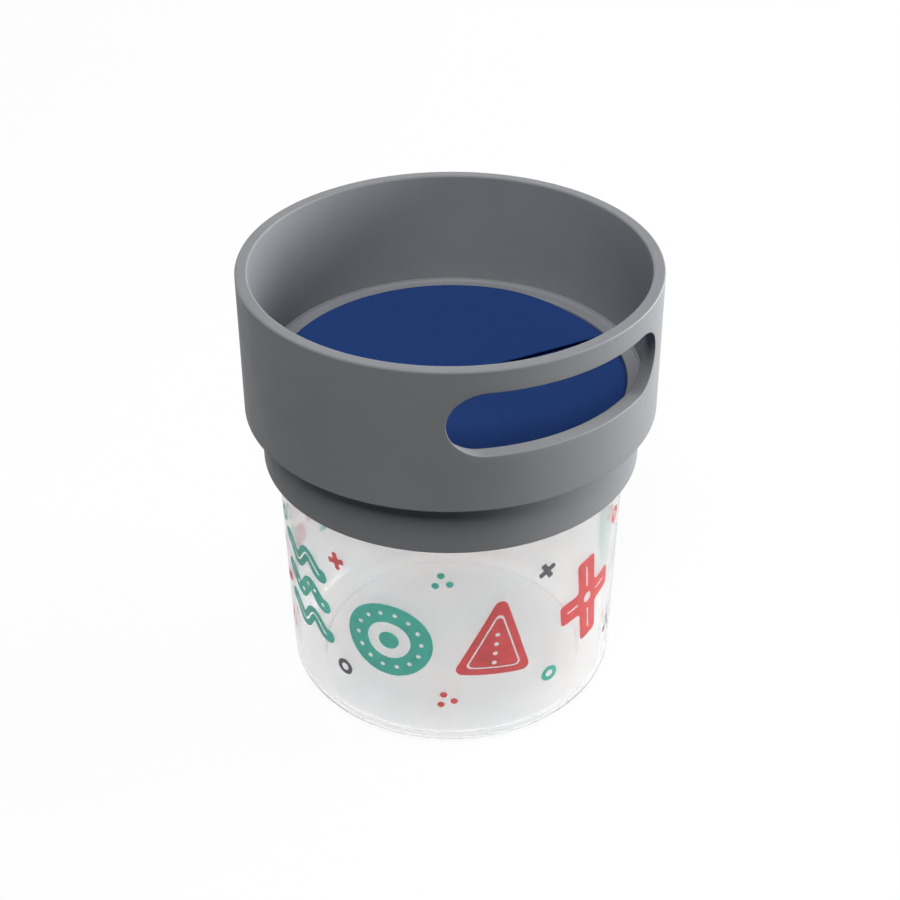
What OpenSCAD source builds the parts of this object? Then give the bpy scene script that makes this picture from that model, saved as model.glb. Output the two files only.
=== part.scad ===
// Toddler snack container: a translucent cup with a screw-on collar that carries a finger slot and
// two overlapping fabric flaps. A hand pushes the flaps aside, and they close again behind it.
// Sizes are in millimetres. The origin is the centre of the cup's base, and the slot faces -Y.

/* [Overall] */
// Height from the table to the rim
overall_h = 118.3; // [95:0.1:160]
// Outside diameter of the collar
collar_d = 104; // [86:0.5:130]

/* [Collar wall] */
// Wall thickness at the rim
rim_t = 3; // [2.5:0.1:4]
// How much closer the inside of the wall comes to the axis from the rim down to the ledge
wall_draft = 0.9; // [0.3:0.1:1.2]
// Height of the wide wall, from its lower edge to the rim
wall_h = 37.4; // [35:0.1:48]
// Rounding of the rim's two edges
rim_round = 0.4; // [0.3:0.1:1.1]
// Rounding of the lower edges of the wall and of the skirt
lip_round = 0.3; // [0.2:0.1:0.8]

/* [Finger slot] */
// Length of the slot, end to end
slot_l = 60; // [40:0.5:80]
// Height of the slot, which is also the diameter of its round ends
slot_h = 16.5; // [12:0.1:20]
// From the rim down to the slot's upper edge
slot_drop = 5.9; // [3:0.1:7]

/* [Hand pocket] */
// From the rim down to the retaining ring
pocket_depth = 30.6; // [28:0.1:33]
// Width of the retaining ring
ring_w = 3.7; // [3.2:0.1:5]
// Thickness of the retaining ring at its inner edge
ring_t = 1; // [0.8:0.1:1.6]
// Radius of the hollow curve that leads the ring up into the wall
cove_r = 1; // [0.9:0.1:2]
// Height of that curve above the ring's flat
cove_h = 0.8; // [0.5:0.1:0.9]
// Radius of the bead that snaps the ring into the wall
bead_r = 0.5; // [0.3:0.05:0.7]

/* [Ledge and skirt] */
// Thickness of the ledge that the fabric lies on
ledge_t = 1.5; // [1.2:0.1:2]
// How far the top of the skirt is set in from the wall's outside
skirt_step = 3.7; // [3.5:0.1:6]
// How much narrower the outside of the skirt is at its lower edge than at its top
skirt_taper = 0.3; // [0:0.1:0.6]
// Wall thickness of the skirt at its lower edge
skirt_t = 2.7; // [2:0.1:3]
// Height of the skirt below the wide wall
skirt_h = 14.7; // [13.5:0.1:20]
// Width of the cored groove between the skirt and the wide wall
groove_w = 1.3; // [1:0.1:2]

/* [Fabric flaps] */
// Thickness of one layer of fabric
fabric_t = 0.8; // [0.5:0.05:1.2]
// Gap between the two layers where they overlap
layer_gap = 0.25; // [0.2:0.05:0.4]
// Direction of the slit, in degrees from +X
slit_angle = -7; // [-90:0.5:90]
// Distance of the slit from the axis, towards the slot's side
slit_offset = 0.5; // [0:0.1:4]
// How far the front flap runs on below the back one
overlap = 6; // [3:0.5:9]
// Distance of each flap's bending line from the axis
bend_distance = 26; // [18:0.5:30]
// Distance that the fabric reaches under the retaining ring
hem_w = 2.6; // [2:0.1:3]

/* [Screw thread] */
// Rise of the thread in one turn
thread_lead = 5; // [4.5:0.1:6]
// How far each ridge stands out
thread_depth = 1; // [0.8:0.05:1.2]
// Width of a ridge where it leaves the wall
thread_root_w = 1.9; // [1.4:0.05:2]
// Width of a ridge at its crest
thread_crest_w = 0.9; // [0.6:0.05:1.2]
// Clearance between a ridge's crest and the wall it passes
thread_clearance = 0.4; // [0.3:0.05:0.5]

/* [Cup] */
// Wall thickness of the cup
cup_wall = 1.5; // [1.2:0.1:2]
// Thickness of the cup's floor
floor_t = 1.8; // [1.6:0.1:2.5]
// How much narrower the cup is at its base than at the skirt
cup_taper = 1.6; // [0:0.1:3]
// Gap between the cup's body and the inside of the skirt
body_gap = 0.6; // [0.5:0.1:1]
// Radius of the cup's lower corner
corner_r = 5; // [3:0.5:7]
// Depth of the recess under the base
foot_h = 0.8; // [0.4:0.1:1]
// Width of the foot ring that the cup stands on
foot_w = 3; // [2:0.5:5]
// Height of the cup's shoulder above the skirt's lower edge
shoulder_rise = 1.3; // [0.5:0.1:1.5]

/* [Gasket] */
// Thickness of the gasket
gasket_t = 1.2; // [1:0.1:2]
// Gap between the gasket's edge and the inside of the skirt
gasket_gap = 0.3; // [0.2:0.05:0.5]

/* [Hidden] */
$fn = 120;

// Gap between pieces that only lie beside each other
fit_gap = 0.1;
// Gap at the end of a flap where it bends
bend_gap = 0.5;
// Gap along the sides of a flap
side_gap = 0.3;
// Distance between a flap's corners and the edge of the ledge
tongue_land = 3;
// How far one solid is sunk into another to make them one
sink = 0.4;
// Amount by which a cutter runs past the face it cuts
over = 1;

// Heights, from the rim downwards
rim_z = overall_h;
wall_bottom_z = rim_z - wall_h;
skirt_bottom_z = wall_bottom_z - skirt_h;
ring_z = rim_z - pocket_depth;
upper_z = ring_z - ring_t;
lower_z = upper_z - 2 * fabric_t - layer_gap;
ledge_bottom_z = lower_z - ledge_t;
cup_h = ledge_bottom_z - gasket_t;
shoulder_z = skirt_bottom_z + shoulder_rise;

// Radii, from the outside inwards
wall_r = collar_d / 2;
skirt_r = wall_r - skirt_step;
skirt_low_r = skirt_r - skirt_taper;
skirt_in_r = skirt_low_r - skirt_t;
body_r = skirt_in_r - body_gap;
base_r = body_r - cup_taper;
neck_r = skirt_in_r - thread_clearance - thread_depth;
neck_in_r = neck_r - cup_wall;
shoulder_h = body_r - neck_r;
ledge_r = neck_in_r + fit_gap;
ring_out_r = wall_in_r(upper_z) - fit_gap;
ring_in_r = ring_out_r - ring_w;
hem_r = ring_in_r + hem_w;

// The thread starts above the shoulder, with the collar's ridge below the cup's
thread_z = shoulder_z + shoulder_h + thread_root_w / 2 + thread_lead / 2 + thread_clearance;
thread_step = 5;
thread_fade = 20;

// Radius of the collar's inside at height z
function wall_in_r(z) = wall_r - rim_t - wall_draft * (rim_z - z) / (rim_z - lower_z);

// Share of the full ridge at angle a, which fades in and out at its two ends
function fade(a) = min(1, a / thread_fade, (360 - a) / thread_fade);

// The four corners of a ridge at angle a, from a wall of radius wall, rising outwards or inwards
function ridge_ring(wall, side, z0, a) =
    let (
        z = z0 + thread_lead * a / 360,
        crest = wall + side * ((thread_depth + over) * fade(a) - over),
        root = wall - side * sink,
        tip = side * crest < side * root ? root + side * sink / 2 : crest
    )
    [for (p = [
        [root, -thread_root_w / 2],
        [tip, -thread_crest_w / 2],
        [tip, thread_crest_w / 2],
        [root, thread_root_w / 2],
    ]) [p[0] * cos(a), p[0] * sin(a), z + p[1]]];

// A helical ridge of one turn on a round wall; side is 1 on its outside and -1 on its inside
module helical_ridge(wall, side, z0) {
    steps = 360 / thread_step;
    points = [for (i = [0:steps]) each ridge_ring(wall, side, z0, i * thread_step)];
    sides = [for (i = [0:steps - 1], k = [0:3])
        [4 * i + k, 4 * i + (k + 1) % 4, 4 * i + 4 + (k + 1) % 4, 4 * i + 4 + k]];
    last = 4 * steps;
    faces = concat([[3, 2, 1, 0]], sides, [[last, last + 1, last + 2, last + 3]]);
    mirrored = [for (f = faces) [for (k = [len(f) - 1:-1:0]) f[k]]];
    polyhedron(points, side > 0 ? faces : mirrored);
}

// Cutter that rounds the corner at the origin of a shape that fills the quarter -X, -Y
module corner_cut(r) {
    difference() {
        translate([-r, -r])
            square(r + over);
        translate([-r, -r])
            circle(r);
        translate([-r - over, -r - over])
            square([r + over, over]);
    }
}

// Cutters that round both edges of a flat top from radius r0 to r1 at height z
module round_top_edges(r0, r1, z, r) {
    translate([r1, z])
        corner_cut(r);
    translate([r0, z])
        mirror([1, 0])
            corner_cut(r);
}

// The same for a flat underside
module round_bottom_edges(r0, r1, z, r) {
    translate([0, 2 * z])
        mirror([0, 1])
            round_top_edges(r0, r1, z, r);
}

// Half the width of a flap at y in the slit's frame, between its bending line and its edge at free
function tongue_half(y, free) =
    let (
        half_bend = sqrt(ledge_r * ledge_r - bend_distance * bend_distance) - tongue_land,
        half_free = ledge_r - tongue_land - side_gap
    )
    half_bend + (half_free - half_bend) * (y + bend_distance) / (free + bend_distance);

// Outline of a flap with its edge at free, from y0 to y1, with grow added at its sides
module tongue_shape(free, y0, y1, grow) {
    half0 = tongue_half(y0, free) + grow;
    half1 = tongue_half(y1, free) + grow;
    polygon([[-half0, y0], [half0, y0], [half1, y1], [-half1, y1]]);
}

// Everything on the slot's side of the line y = free, inside radius r
module half_disc(r, free) {
    intersection() {
        circle(r);
        translate([-r, -2 * r])
            square([2 * r, 2 * r + free]);
    }
}

module hem_band(free) {
    difference() {
        half_disc(hem_r, free);
        circle(ring_in_r + side_gap);
    }
}

// The part of a fabric half that stays still: one layer, with its clamped hem folded double
module margin(free, layer_z, hem_free, hem_z) {
    translate([0, 0, layer_z])
        linear_extrude(fabric_t)
            difference() {
                half_disc(hem_r, free);
                tongue_shape(free, -bend_distance, free + over, side_gap);
            }
    translate([0, 0, hem_z])
        linear_extrude(fabric_t + layer_gap)
            hem_band(hem_free);
}

module flap(free, layer_z) {
    translate([0, 0, layer_z])
        linear_extrude(fabric_t)
            tongue_shape(free, -bend_distance + bend_gap, free, 0);
}

module cup() {
    color([0.88, 0.88, 0.92, 0.5])
        union() {
            rotate_extrude()
                difference() {
                    polygon([
                        [0, 0], [base_r, 0], [base_r, corner_r], [body_r, shoulder_z],
                        [neck_r, shoulder_z + shoulder_h], [neck_r, cup_h], [0, cup_h],
                    ]);
                    cup_hollow();
                    translate([base_r, 0])
                        mirror([0, 1])
                            corner_cut(corner_r);
                    translate([0, -over])
                        square([base_r - corner_r - foot_w, foot_h + over]);
                    round_top_edges(neck_in_r, neck_r, cup_h, cup_wall / 3);
                }
            helical_ridge(neck_r, 1, thread_z);
        }
}

// Profile of the space inside the cup, with a rounded corner at the floor
module cup_hollow() {
    in_corner_r = corner_r - cup_wall;
    difference() {
        polygon([
            [0, floor_t], [base_r - cup_wall, floor_t], [base_r - cup_wall, floor_t + in_corner_r],
            [body_r - cup_wall, shoulder_z], [neck_in_r, shoulder_z + shoulder_h],
            [neck_in_r, cup_h + over], [0, cup_h + over],
        ]);
        translate([base_r - cup_wall, floor_t])
            mirror([0, 1])
                corner_cut(in_corner_r);
    }
}

module gasket() {
    color([0.82, 0.83, 0.84])
        rotate_extrude()
            translate([neck_in_r, cup_h])
                square([skirt_in_r - gasket_gap - neck_in_r, gasket_t]);
}

module collar() {
    groove_r = skirt_r + groove_w;
    color([0.42, 0.43, 0.44])
        union() {
            difference() {
                rotate_extrude()
                    difference() {
                        polygon([
                            [wall_r, wall_bottom_z], [wall_r, rim_z], [wall_r - rim_t, rim_z],
                            [wall_in_r(lower_z), lower_z], [ledge_r, lower_z], [ledge_r, ledge_bottom_z],
                            [skirt_in_r, ledge_bottom_z], [skirt_in_r, skirt_bottom_z],
                            [skirt_low_r, skirt_bottom_z], [skirt_low_r, skirt_bottom_z + lip_round],
                            [skirt_r, ledge_bottom_z],
                            [groove_r, ledge_bottom_z], [groove_r, wall_bottom_z],
                        ]);
                        round_top_edges(wall_r - rim_t, wall_r, rim_z, rim_round);
                        round_bottom_edges(groove_r, wall_r, wall_bottom_z, lip_round);
                        round_bottom_edges(skirt_in_r, skirt_low_r, skirt_bottom_z, lip_round);
                        snap_bead(fit_gap / 2);
                    }
                finger_slot();
            }
            helical_ridge(skirt_in_r, -1, thread_z - thread_lead / 2);
        }
}

// Section of the bead on the ring, or of its groove in the wall with grow added
module snap_bead(grow) {
    bead_z = upper_z + ring_t;
    translate([wall_in_r(bead_z) - fit_gap, bead_z])
        circle(bead_r + grow);
}

// A slot with round ends, cut straight through the front of the wall along Y
module finger_slot() {
    end_x = (slot_l - slot_h) / 2;
    slot_z = rim_z - slot_drop - slot_h / 2;
    translate([0, 0, slot_z])
        rotate([90, 0, 0])
            linear_extrude(wall_r + over) {
                square([2 * end_x, slot_h], center = true);
                for (x = [-end_x, end_x])
                    translate([x, 0])
                        circle(d = slot_h);
            }
}

module retaining_ring() {
    top_z = ring_z + cove_h;
    // Thickness that is left where the curve meets the wall
    feather = 0.4;
    flat_r = wall_in_r(top_z) - fit_gap - feather - cove_r * sin(acos(1 - cove_h / cove_r));
    color([0.5, 0.51, 0.52])
        rotate_extrude()
            union() {
                difference() {
                    polygon([
                        [ring_in_r, upper_z], [ring_out_r, upper_z],
                        [wall_in_r(top_z) - fit_gap, top_z], [ring_in_r, top_z],
                    ]);
                    translate([ring_in_r - over, ring_z])
                        square([flat_r - ring_in_r + over, cove_h + over]);
                    translate([flat_r, ring_z + cove_r])
                        circle(cove_r);
                    translate([ring_in_r, ring_z])
                        mirror([1, 0])
                            corner_cut(ring_t / 2);
                }
                intersection() {
                    snap_bead(0);
                    translate([ring_out_r - sink, upper_z])
                        square([bead_r + over, ring_t + cove_h]);
                }
            }
}

module front_flap_margin() {
    color([0.14, 0.23, 0.44])
        rotate(slit_angle)
            margin(overlap - slit_offset, lower_z, -slit_offset - side_gap, lower_z + fabric_t);
}

module back_flap_margin() {
    color([0.15, 0.25, 0.47])
        rotate(slit_angle + 180)
            margin(slit_offset, upper_z - fabric_t, -overlap + slit_offset - side_gap, lower_z);
}

module front_flap() {
    color([0.14, 0.23, 0.44])
        rotate(slit_angle)
            flap(overlap - slit_offset, lower_z);
}

module back_flap() {
    color([0.15, 0.25, 0.47])
        rotate(slit_angle + 180)
            flap(slit_offset, upper_z - fabric_t);
}

cup();
gasket();
collar();
retaining_ring();
front_flap_margin();
back_flap_margin();
front_flap();
back_flap();
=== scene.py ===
"""Toddler snack container: its looks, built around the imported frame.

Everything is in metres in the frame's own axes: +Z up, the finger slot facing -Y, and the origin at
the centre of the cup's base.
"""

import math

import bmesh
import bpy
from mathutils import Matrix, Quaternion, Vector
from mathutils.geometry import delaunay_2d_cdt
from mathutils.noise import noise
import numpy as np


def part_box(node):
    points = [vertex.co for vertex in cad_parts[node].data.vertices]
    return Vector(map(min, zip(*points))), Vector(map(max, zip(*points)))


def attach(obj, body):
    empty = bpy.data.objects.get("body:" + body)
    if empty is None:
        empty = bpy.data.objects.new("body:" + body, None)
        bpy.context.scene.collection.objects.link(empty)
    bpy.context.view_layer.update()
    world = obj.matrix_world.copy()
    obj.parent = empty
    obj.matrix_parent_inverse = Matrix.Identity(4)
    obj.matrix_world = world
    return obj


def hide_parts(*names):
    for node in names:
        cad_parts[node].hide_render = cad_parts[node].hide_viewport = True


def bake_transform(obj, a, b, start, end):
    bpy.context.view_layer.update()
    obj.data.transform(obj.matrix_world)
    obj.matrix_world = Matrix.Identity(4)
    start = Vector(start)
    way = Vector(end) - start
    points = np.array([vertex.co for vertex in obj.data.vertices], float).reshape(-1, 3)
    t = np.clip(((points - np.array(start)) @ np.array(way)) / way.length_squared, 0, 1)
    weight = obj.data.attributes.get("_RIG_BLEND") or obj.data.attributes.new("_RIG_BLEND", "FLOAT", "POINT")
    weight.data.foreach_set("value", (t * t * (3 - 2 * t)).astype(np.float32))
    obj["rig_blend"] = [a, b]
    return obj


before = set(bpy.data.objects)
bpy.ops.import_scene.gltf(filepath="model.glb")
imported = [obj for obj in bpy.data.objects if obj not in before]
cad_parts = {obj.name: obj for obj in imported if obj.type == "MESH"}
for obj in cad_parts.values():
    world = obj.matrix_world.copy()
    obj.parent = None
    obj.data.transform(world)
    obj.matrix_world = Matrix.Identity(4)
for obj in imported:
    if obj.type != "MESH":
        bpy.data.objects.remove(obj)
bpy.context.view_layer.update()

MM = 0.001

# ---------------------------------------------------------------- sizes that the frame gives
COLLAR_LOW, COLLAR_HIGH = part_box("collar")
RING_LOW, RING_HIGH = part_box("retaining_ring")
CUP_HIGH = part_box("cup")[1]
GASKET_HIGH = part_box("gasket")[1]

RIM_Z = COLLAR_HIGH.z
WALL_R = COLLAR_HIGH.x
SKIRT_BOTTOM_Z = COLLAR_LOW.z
CUP_H = CUP_HIGH.z
GASKET_R = GASKET_HIGH.x
GASKET_TOP_Z = GASKET_HIGH.z
UPPER_Z = RING_LOW.z
RING_TOP_Z = RING_HIGH.z
LOWER_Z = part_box("front_flap")[0].z

# ---------------------------------------------------------------- sizes that the frame doesn't give
RIM_T = 3.0 * MM
WALL_DRAFT = 0.9 * MM
WALL_H = 37.4 * MM
RIM_ROUND = 0.4 * MM
LIP_ROUND = 0.3 * MM
LEDGE_ROUND = 0.3 * MM
SEAT_ROUND = 0.2 * MM
GROOVE_ROUND = 0.4 * MM
SLOT_L = 60.0 * MM
SLOT_H = 16.5 * MM
SLOT_DROP = 5.9 * MM
SLOT_ROUND = 0.3 * MM
SLOT_MARGIN = 2.2 * MM
RING_W = 3.7 * MM
RING_T = 1.0 * MM
RING_ROUND = 0.15 * MM
COVE_R = 1.0 * MM
FEATHER = 0.4 * MM
FEATHER_ROUND = 0.08 * MM
RING_TOP_ROUND = 0.12 * MM
LEDGE_T = 1.5 * MM
SKIRT_STEP = 3.7 * MM
SKIRT_TAPER = 0.3 * MM
SKIRT_T = 2.7 * MM
GROOVE_W = 1.3 * MM
THREAD_LEAD = 5.0 * MM
THREAD_DEPTH = 1.0 * MM
THREAD_CLEARANCE = 0.4 * MM
THREAD_ROOT_W = 1.9 * MM
THREAD_CREST_W = 0.9 * MM
THREAD_SINK = 0.4 * MM
CUP_WALL = 1.5 * MM
FLOOR_T = 1.8 * MM
CUP_TAPER = 1.6 * MM
BODY_GAP = 0.6 * MM
CORNER_R = 5.0 * MM
FOOT_H = 0.8 * MM
FOOT_W = 3.0 * MM
FOOT_BEVEL = 0.6 * MM
FOOT_ROUND = 0.3 * MM
RECESS_ROUND = 0.4 * MM
SHOULDER_RISE = 1.3 * MM
SHOULDER_ROUND = 0.4 * MM
NECK_ROUND = 0.3 * MM
INSIDE_ROUND = 1.0 * MM
GASKET_ROUND = 0.25 * MM
FIT_GAP = 0.1 * MM
FABRIC_T = 0.8 * MM
SLIT_ANGLE = math.radians(-7)
SLIT_OFFSET = 0.5 * MM
OVERLAP = 6.0 * MM
BEND_DISTANCE = 25.75 * MM
HEM_W = 2.6 * MM

# ---------------------------------------------------------------- sizes that follow from them
WALL_BOTTOM_Z = RIM_Z - WALL_H
LEDGE_BOTTOM_Z = LOWER_Z - LEDGE_T
SHOULDER_Z = SKIRT_BOTTOM_Z + SHOULDER_RISE
SKIRT_R = WALL_R - SKIRT_STEP
SKIRT_LOW_R = SKIRT_R - SKIRT_TAPER
SKIRT_IN_R = SKIRT_LOW_R - SKIRT_T
BODY_R = SKIRT_IN_R - BODY_GAP
BASE_R = BODY_R - CUP_TAPER
NECK_R = SKIRT_IN_R - THREAD_CLEARANCE - THREAD_DEPTH
NECK_IN_R = NECK_R - CUP_WALL
SHOULDER_H = BODY_R - NECK_R
LEDGE_R = NECK_IN_R + FIT_GAP
THREAD_Z = SHOULDER_Z + SHOULDER_H + THREAD_ROOT_W / 2 + THREAD_LEAD / 2 + THREAD_CLEARANCE
SLOT_Z = RIM_Z - SLOT_DROP - SLOT_H / 2
SLOT_END_X = (SLOT_L - SLOT_H) / 2
SLOT_END_R = SLOT_H / 2


def wall_in_r(z):
    """Radius of the collar's inside at height z."""
    return WALL_R - RIM_T - WALL_DRAFT * (RIM_Z - z) / (RIM_Z - LOWER_Z)


RING_OUT_R = wall_in_r(UPPER_Z) - FIT_GAP
RING_IN_R = RING_OUT_R - RING_W
HEM_R = RING_IN_R + HEM_W

SEGMENTS = 256
SAME = 1e-7

# ---------------------------------------------------------------- camera
CAMERA_AZIMUTH = math.radians(-34.1)
CAMERA_ELEVATION = math.radians(33.61)
CAMERA_DISTANCE = 0.4542
CAMERA_ROLL = math.radians(-0.25)
CAMERA_AIM = Vector((-0.00018, 0.00012, 0.0636))
CAMERA_LENS = 70.1
SENSOR_WIDTH = 36
NEAR_CLIP = 0.01


def around(azimuth, elevation, distance):
    """The point at that azimuth, elevation and distance from CAMERA_AIM; azimuth 0 looks along +Y."""
    level = math.cos(elevation) * distance
    x = math.sin(azimuth) * level
    y = -math.cos(azimuth) * level
    return CAMERA_AIM + Vector((x, y, math.sin(elevation) * distance))


def look_at_aim(obj, roll=0):
    """Turns a camera or lamp toward CAMERA_AIM."""
    aimed = (CAMERA_AIM - obj.location).to_track_quat("-Z", "Y")
    obj.rotation_euler = (aimed @ Quaternion((0, 0, 1), roll)).to_euler()


def set_view():
    """Shows colours as they are written."""
    bpy.context.scene.view_settings.view_transform = "Standard"


def add_camera():
    data = bpy.data.cameras.new("camera")
    data.lens = CAMERA_LENS
    data.sensor_width = SENSOR_WIDTH
    data.clip_start = NEAR_CLIP
    camera = bpy.data.objects.new("camera", data)
    bpy.context.scene.collection.objects.link(camera)
    camera.location = around(CAMERA_AZIMUTH, CAMERA_ELEVATION, CAMERA_DISTANCE)
    look_at_aim(camera, CAMERA_ROLL)
    bpy.context.scene.camera = camera


# ---------------------------------------------------------------- mesh helpers
def link(name, bm, smooth=True):
    """A new object with bm's mesh, which is cleaned and given outward normals."""
    bmesh.ops.remove_doubles(bm, verts=bm.verts, dist=SAME)
    bmesh.ops.recalc_face_normals(bm, faces=bm.faces)
    mesh = bpy.data.meshes.new(name)
    bm.to_mesh(mesh)
    bm.free()
    for face in mesh.polygons:
        face.use_smooth = smooth
    obj = bpy.data.objects.new(name, mesh)
    bpy.context.scene.collection.objects.link(obj)
    return obj


def rounded(corners, steps=6, land=0.25 * MM, longest=3.0 * MM):
    """A closed outline from (r, z, rounding) corners, with its straight stretches divided.

    A point just inside each end of a stretch keeps the shading flat up to the rounding."""
    arcs = []
    count = len(corners)
    for i, (r, z, radius) in enumerate(corners):
        here = Vector((r, z))
        before = (Vector(corners[i - 1][:2]) - here).normalized()
        after = (Vector(corners[(i + 1) % count][:2]) - here).normalized()
        half = before.angle(after) / 2
        is_straight = half > math.pi / 2 - 1e-4
        if radius <= 0 or is_straight:
            arcs.append([here])
            continue
        centre = here + (before + after).normalized() * (radius / math.sin(half))
        reach = radius / math.tan(half)
        start = here + before * reach - centre
        turn = start.angle_signed(here + after * reach - centre)
        spins = [Matrix.Rotation(-turn * k / steps, 2) for k in range(steps + 1)]
        arcs.append([centre + spin @ start for spin in spins])
    outline = []
    for i, arc in enumerate(arcs):
        outline += arc
        start, end = arc[-1], arcs[(i + 1) % count][0]
        length = (end - start).length
        if length > 3 * land:
            inner = [start.lerp(end, land / length), end.lerp(start, land / length)]
            pieces = max(1, math.ceil((length - 2 * land) / longest))
            outline += [inner[0].lerp(inner[1], k / pieces) for k in range(pieces + 1)]
    return [(p.x, p.y) for p in outline]


def on_wheel(r, z, angle):
    """The point at radius r and height z, with angle counted from the slot's direction, -Y."""
    return (r * math.sin(angle), -r * math.cos(angle), z)


def join_rings(bm, low, high):
    """Faces between two closed rings of vertices."""
    count = len(low)
    for k in range(count):
        n = (k + 1) % count
        bm.faces.new((low[k], low[n], high[n], high[k]))


def closed_edges(first, count):
    """Pairs of numbers that join count points from first on into a closed loop."""
    return [(first + k, first + (k + 1) % count) for k in range(count)]


def lathe(bm, outline, skip=None):
    """Turns a closed outline round the Z axis and returns its rings of vertices.

    Points on the axis become one vertex; skip(i, k) leaves out the face from point i at segment k."""
    turns = [2 * math.pi * k / SEGMENTS for k in range(SEGMENTS)]
    rings = []
    for r, z in outline:
        if r < SAME:
            rings.append([bm.verts.new((0, 0, z))] * SEGMENTS)
        else:
            rings.append([bm.verts.new(on_wheel(r, z, turn)) for turn in turns])
    for i, low in enumerate(rings):
        high = rings[(i + 1) % len(rings)]
        for k in range(SEGMENTS):
            if skip and skip(i, k):
                continue
            n = (k + 1) % SEGMENTS
            corners = list(dict.fromkeys((low[k], low[n], high[n], high[k])))
            if len(corners) > 2:
                bm.faces.new(corners)
    return rings


def helical_ridge(bm, wall, side, z0, steps=144, fade_turn=20 / 360):
    """A thread ridge of one turn on a round wall; side is 1 on its outside and -1 on its inside."""
    rings = []
    for i in range(steps + 1):
        turn = i / steps
        fade = min(1, turn / fade_turn, (1 - turn) / fade_turn)
        crest = wall + side * ((THREAD_DEPTH + THREAD_SINK / 2) * fade - THREAD_SINK / 2)
        root = wall - side * THREAD_SINK
        z = z0 + THREAD_LEAD * turn
        angle = 2 * math.pi * turn + math.pi / 2
        section = (
            (root, -THREAD_ROOT_W / 2),
            (crest, -THREAD_CREST_W / 2),
            (crest, THREAD_CREST_W / 2),
            (root, THREAD_ROOT_W / 2),
        )
        rings.append([bm.verts.new(on_wheel(r, z + dz, angle)) for r, dz in section])
    for low, high in zip(rings, rings[1:]):
        join_rings(bm, low, high)
    bm.faces.new(rings[0])
    bm.faces.new(rings[-1][::-1])


# ---------------------------------------------------------------- collar
def collar_outline():
    """Section of the collar, with rows of points at the two ends of the slot's window."""
    groove_r = SKIRT_R + GROOVE_W
    window = slot_window()[:2]
    outer = [(WALL_R, z, 0) for z in window]
    inner = [(wall_in_r(z), z, 0) for z in reversed(window)]
    corners = [
        (WALL_R, WALL_BOTTOM_Z, LIP_ROUND),
        *outer,
        (WALL_R, RIM_Z, RIM_ROUND),
        (WALL_R - RIM_T, RIM_Z, RIM_ROUND),
        *inner,
        (wall_in_r(LOWER_Z), LOWER_Z, LEDGE_ROUND),
        (LEDGE_R, LOWER_Z, LEDGE_ROUND),
        (LEDGE_R, LEDGE_BOTTOM_Z, LEDGE_ROUND),
        (SKIRT_IN_R, LEDGE_BOTTOM_Z, SEAT_ROUND),
        (SKIRT_IN_R, SKIRT_BOTTOM_Z, LIP_ROUND),
        (SKIRT_LOW_R, SKIRT_BOTTOM_Z, LIP_ROUND),
        (SKIRT_R, LEDGE_BOTTOM_Z, GROOVE_ROUND),
        (groove_r, LEDGE_BOTTOM_Z, GROOVE_ROUND),
        (groove_r, WALL_BOTTOM_Z, LIP_ROUND),
    ]
    return rounded(corners)


def slot_window():
    """Lowest and highest z, and half the number of segments, of the patch that holds the slot."""
    reach = math.asin((SLOT_L / 2 + SLOT_MARGIN) / wall_in_r(SLOT_Z))
    half = math.ceil(reach / (2 * math.pi / SEGMENTS))
    return SLOT_Z - SLOT_END_R - SLOT_MARGIN, SLOT_Z + SLOT_END_R + SLOT_MARGIN, half


def slot_edge(samples_end=36, samples_side=30):
    """Points on the slot's outline as (x, z) with their outward normals, once round."""
    points = []
    for side in (1, -1):
        middle = Vector((side * SLOT_END_X, SLOT_Z))
        for k in range(samples_end):
            a = side * math.pi / 2 - side * math.pi * k / samples_end
            normal = Vector((side * math.cos(a), math.sin(a)))
            points.append((middle + normal * SLOT_END_R, normal))
        for k in range(samples_side):
            x = side * SLOT_END_X * (1 - 2 * k / samples_side)
            points.append((Vector((x, SLOT_Z - side * SLOT_END_R)), Vector((0, -side))))
    return points


def slot_distance(x, z):
    """Distance from the slot's middle line, in the plane that the slot is cut in."""
    return math.hypot(max(0, abs(x) - SLOT_END_X), z - SLOT_Z)


def slot_strip(bm):
    """The slot's own wall with its rounded edges; returns its rings from outside to inside."""
    steps = 6
    turns = [math.pi / 2 * k / steps for k in range(steps + 1)]
    fillet = [(SLOT_ROUND * (1 - math.sin(t)), SLOT_ROUND * (1 - math.cos(t))) for t in turns]
    rings = []
    edge = slot_edge()

    def outside_y(x):
        return -math.sqrt(WALL_R**2 - x * x)

    def inside_y(x, z):
        return -math.sqrt(wall_in_r(z) ** 2 - x * x)

    for grow, depth in fillet:
        points = [p + n * grow for p, n in edge]
        rings.append([bm.verts.new((p.x, outside_y(p.x) + depth, p.y)) for p in points])
    for share in (0.1, 0.5, 0.9):
        ring = []
        for p, _ in edge:
            front = outside_y(p.x) + SLOT_ROUND
            back = inside_y(p.x, p.y) - SLOT_ROUND
            ring.append(bm.verts.new((p.x, front + (back - front) * share, p.y)))
        rings.append(ring)
    for grow, depth in reversed(fillet):
        points = [p + n * grow for p, n in edge]
        rings.append([bm.verts.new((p.x, inside_y(p.x, p.y) - depth, p.y)) for p in points])
    for low, high in zip(rings, rings[1:]):
        join_rings(bm, low, high)
    return rings


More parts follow.
